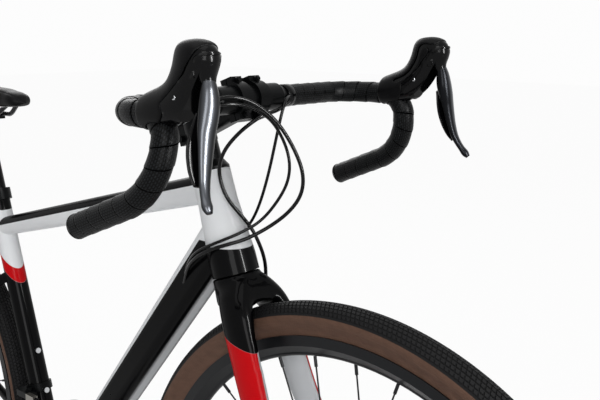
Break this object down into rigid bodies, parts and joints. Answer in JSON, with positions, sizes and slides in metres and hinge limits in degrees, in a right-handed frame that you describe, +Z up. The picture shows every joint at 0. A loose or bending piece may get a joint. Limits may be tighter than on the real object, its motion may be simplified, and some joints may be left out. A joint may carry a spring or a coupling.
{
  "type": "gravel bike",
  "caption": "Gravel bike with flared drop bar, disc brakes, derailleur gears, sloping top tube, straight fork and brown-walled block-tread tyres.",
  "frame": {"origin": "on the ground, midway between the two axles, in the bike's middle plane", "axes": "+X forward, +Y to the rider's left, +Z up"},
  "size_m": [1.6979, 0.4484, 0.9787],
  "materials": {
    "frame_paint": "gloss white and black paint",
    "fork_paint": "gloss black and red paint",
    "black_paint": "gloss black paint",
    "black_alloy": "satin black anodised",
    "grey_alloy": "polished dark grey",
    "ring_alloy": "satin black",
    "rim_alloy": "satin black",
    "steel": "brushed",
    "chain_steel": "satin",
    "sprocket_steel": "satin",
    "spoke_steel": "black",
    "housing": "gloss black",
    "black_plastic": "gloss black",
    "rubber": "matt black",
    "tape": "embossed black foam",
    "saddle_cover": "matt black cover",
    "tyre": "black tread with brown side walls"
  },
  "bodies": {
    "frame": {"head_tube": "frame_paint", "top_tube": "frame_paint", "down_tube": "frame_paint", "seat_tube": "frame_paint", "bottom_bracket_shell": "black_paint", "rear_stays": "black_paint", "rear_dropouts": "black_paint", "frame_bearings": "steel", "seat_clamp": "black_alloy", "frame_bolts": "steel", "front_derailleur_bracket": "black_alloy", "rear_caliper": "black_alloy", "rear_thru_axle": "black_alloy", "chain": "chain_steel", "derailleur_knuckle": "black_alloy", "frame_housings": "housing"},
    "seat": {"seatpost": "black_alloy", "saddle_rails": "steel", "saddle": "saddle_cover"},
    "steering": {"fork": "fork_paint", "headset_spacers": "black_alloy", "stem": "black_alloy", "stem_faceplate": "black_alloy", "stem_bolts": "steel", "handlebar": "black_alloy", "bar_tape": "tape", "lever_hoods": "rubber", "lever_brackets": "black_plastic", "front_caliper": "black_alloy", "front_thru_axle": "black_alloy", "front_brake_housing": "housing"},
    "front_wheel": {"front_tyre": "tyre", "front_rim": "rim_alloy", "front_spokes": "spoke_steel", "front_hub": "black_alloy", "front_rotor": "steel"},
    "rear_wheel": {"rear_tyre": "tyre", "rear_rim": "rim_alloy", "rear_spokes": "spoke_steel", "rear_hub": "black_alloy", "rear_rotor": "steel"},
    "sprockets": {"cassette": "sprocket_steel"},
    "crankset": {"crank_right": "black_alloy", "chainrings": "ring_alloy", "crank_left": "black_alloy"},
    "right_pedal": {"pedal_right": "black_plastic"},
    "left_pedal": {"pedal_left": "black_plastic"},
    "right_brake_blade": {"brake_lever_right": "grey_alloy"},
    "left_brake_blade": {"brake_lever_left": "grey_alloy"},
    "right_paddle": {"shift_paddle_right": "black_plastic"},
    "left_paddle": {"shift_paddle_left": "black_plastic"},
    "front_brake_arm": {"front_caliper_arm": "grey_alloy"},
    "rear_brake_arm": {"rear_caliper_arm": "grey_alloy"},
    "outer_link": {"derailleur_outer_link": "grey_alloy"},
    "inner_link": {"derailleur_inner_link": "black_alloy"},
    "lower_knuckle": {"cage_knuckle": "black_alloy"},
    "cage": {"derailleur_cage": "black_alloy"},
    "upper_jockey": {"jockey_upper": "black_plastic"},
    "lower_jockey": {"jockey_lower": "black_plastic"},
    "front_cage": {"front_derailleur_cage": "chain_steel"}
  },
  "joints": [
    {"name": "steering_turn", "type": "hinge", "parent": "frame", "child": "steering", "pos_m": [0.3208, 0, 0.69927], "axis": [-0.3338, 0, 0.9426], "range_deg": [-55, 55], "deforming": ["frame_housings"]},
    {"name": "seat_height", "type": "slide", "parent": "frame", "child": "seat", "axis": [-0.284, 0, 0.9588], "range_m": [-0.08, 0.06]},
    {"name": "front_wheel_spin", "type": "hinge", "parent": "steering", "child": "front_wheel", "pos_m": [0.5, 0, 0.349], "axis": [0, 1, 0], "continuous": true},
    {"name": "rear_wheel_spin", "type": "hinge", "parent": "frame", "child": "rear_wheel", "pos_m": [-0.5, 0, 0.349], "axis": [0, 1, 0], "continuous": true},
    {"name": "crank_spin", "type": "hinge", "parent": "frame", "child": "crankset", "pos_m": [-0.07776, 0, 0.279], "axis": [0, 1, 0], "continuous": true, "deforming": ["chain"]},
    {"name": "sprocket_spin", "type": "hinge", "parent": "frame", "child": "sprockets", "pos_m": [-0.5, 0, 0.349], "axis": [0, 1, 0], "continuous": true},
    {"name": "right_pedal_spin", "type": "hinge", "parent": "crankset", "child": "right_pedal", "pos_m": [0.09224, -0.131, 0.279], "axis": [0, 1, 0], "continuous": true},
    {"name": "left_pedal_spin", "type": "hinge", "parent": "crankset", "child": "left_pedal", "pos_m": [-0.24776, 0.131, 0.279], "axis": [0, 1, 0], "continuous": true},
    {"name": "left_brake_pull", "type": "hinge", "parent": "steering", "child": "left_brake_blade", "pos_m": [0.46983, 0.188, 0.94863], "axis": [0, 1, 0], "range_deg": [0, 20], "stiffness_Nm_per_rad": 1.2, "springref_deg": -8.59},
    {"name": "right_brake_pull", "type": "hinge", "parent": "steering", "child": "right_brake_blade", "pos_m": [0.46983, -0.188, 0.94863], "axis": [0, 1, 0], "range_deg": [0, 20], "stiffness_Nm_per_rad": 1.2, "springref_deg": -8.59},
    {"name": "left_shift", "type": "hinge", "parent": "left_brake_blade", "child": "left_paddle", "pos_m": [0.47183, 0.1935, 0.91063], "axis": [-1, 0, 0], "range_deg": [0, 14], "stiffness_Nm_per_rad": 0.25, "springref_deg": -11.46},
    {"name": "right_shift", "type": "hinge", "parent": "right_brake_blade", "child": "right_paddle", "pos_m": [0.47183, -0.1935, 0.91063], "axis": [1, 0, 0], "range_deg": [0, 14], "stiffness_Nm_per_rad": 0.25, "springref_deg": -11.46},
    {"name": "front_brake_arm_pull", "type": "hinge", "parent": "steering", "child": "front_brake_arm", "pos_m": [0.4426, 0.0545, 0.39245], "axis": [0, 1, 0], "range_deg": [0, 20]},
    {"name": "rear_brake_arm_pull", "type": "hinge", "parent": "frame", "child": "rear_brake_arm", "pos_m": [-0.43457, 0.0705, 0.37829], "axis": [0, -1, 0], "range_deg": [0, 20]},
    {"name": "rear_shift_swing", "type": "hinge", "parent": "frame", "child": "outer_link", "pos_m": [-0.513, -0.087, 0.293], "axis": [0.8192, 0, 0.5736], "range_deg": [-22, 25], "deforming": ["chain"]},
    {"name": "inner_link_swing", "type": "hinge", "parent": "frame", "child": "inner_link", "pos_m": [-0.513, -0.073, 0.293], "axis": [0.8192, 0, 0.5736], "range_deg": [-22, 25]},
    {"name": "lower_knuckle_swing", "type": "hinge", "parent": "outer_link", "child": "lower_knuckle", "pos_m": [-0.48845, -0.07309, 0.25794], "axis": [0.8192, 0, 0.5736], "range_deg": [-25, 22]},
    {"name": "cage_swing", "type": "hinge", "parent": "lower_knuckle", "child": "cage", "pos_m": [-0.47583, -0.047, 0.23992], "axis": [0, 1, 0], "range_deg": [-20, 30], "stiffness_Nm_per_rad": 2, "deforming": ["chain"]},
    {"name": "upper_jockey_spin", "type": "hinge", "parent": "cage", "child": "upper_jockey", "pos_m": [-0.47583, -0.047, 0.23992], "axis": [0, 1, 0], "continuous": true},
    {"name": "lower_jockey_spin", "type": "hinge", "parent": "cage", "child": "lower_jockey", "pos_m": [-0.45603, -0.047, 0.18754], "axis": [0, 1, 0], "continuous": true},
    {"name": "front_shift_swing", "type": "hinge", "parent": "frame", "child": "front_cage", "pos_m": [-0.09176, -0.033, 0.42509], "axis": [1, 0, 0], "range_deg": [0, 8], "deforming": ["chain"]}
  ],
  "couplings": [
    {"joint": "sprocket_spin", "follows": "crank_spin", "ratio": 2.6667},
    {"joint": "upper_jockey_spin", "follows": "crank_spin", "ratio": -4.3636},
    {"joint": "lower_jockey_spin", "follows": "crank_spin", "ratio": 4.3636},
    {"joint": "front_brake_arm_pull", "follows": "left_brake_pull", "ratio": 1},
    {"joint": "rear_brake_arm_pull", "follows": "right_brake_pull", "ratio": 1},
    {"joint": "inner_link_swing", "follows": "rear_shift_swing", "ratio": 1},
    {"joint": "lower_knuckle_swing", "follows": "rear_shift_swing", "ratio": -1}
  ]
}
